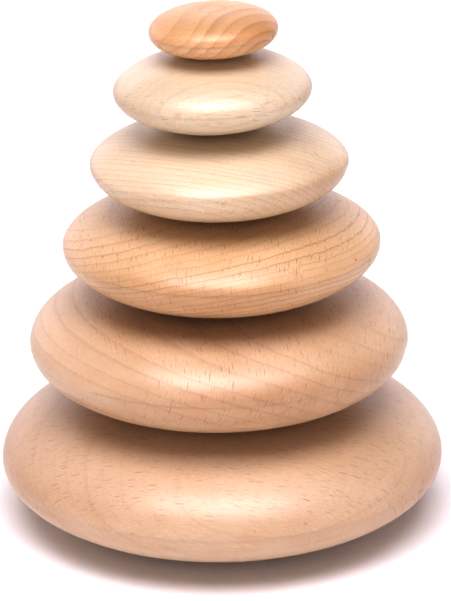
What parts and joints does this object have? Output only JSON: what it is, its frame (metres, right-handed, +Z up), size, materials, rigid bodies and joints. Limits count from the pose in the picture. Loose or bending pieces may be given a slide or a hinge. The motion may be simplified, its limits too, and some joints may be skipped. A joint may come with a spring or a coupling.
{
  "type": "tower of hanoi puzzle",
  "caption": "Pegless tower of hanoi: a hand-stacked tower of loose, lens-shaped pebbles turned from solid beech, each smaller than the one it rests on and lifting off it.",
  "frame": {"origin": "centre of the bottom pebble's flat foot, on the table", "axes": "+Z up the tower, +X to the right and -Y towards a viewer in front; the tower is round, so X and Y only fix how the upper pebbles were left"},
  "size_m": [0.14, 0.14, 0.1654],
  "materials": {
    "beech_1": "satin",
    "beech_2": "satin",
    "beech_3": "satin",
    "beech_4": "satin",
    "beech_5": "satin",
    "beech_6": "satin"
  },
  "bodies": {
    "pebble_1": {"pebble_1_base": "beech_1"},
    "pebble_2": {"pebble_2": "beech_2"},
    "pebble_3": {"pebble_3": "beech_3"},
    "pebble_4": {"pebble_4": "beech_4"},
    "pebble_5": {"pebble_5": "beech_5"},
    "pebble_6": {"pebble_6_top": "beech_6"}
  },
  "joints": [
    {"name": "lift_pebble_2", "type": "slide", "parent": "pebble_1", "child": "pebble_2", "axis": [0, 0, 1], "range_m": [0, 0.06]},
    {"name": "lift_pebble_3", "type": "slide", "parent": "pebble_2", "child": "pebble_3", "axis": [0, 0, 1], "range_m": [0, 0.06]},
    {"name": "lift_pebble_4", "type": "slide", "parent": "pebble_3", "child": "pebble_4", "axis": [0, 0, 1], "range_m": [0, 0.06]},
    {"name": "lift_pebble_5", "type": "slide", "parent": "pebble_4", "child": "pebble_5", "axis": [0, 0, 1], "range_m": [0, 0.06]},
    {"name": "lift_pebble_6", "type": "slide", "parent": "pebble_5", "child": "pebble_6", "axis": [0, 0, 1], "range_m": [0, 0.06]}
  ]
}
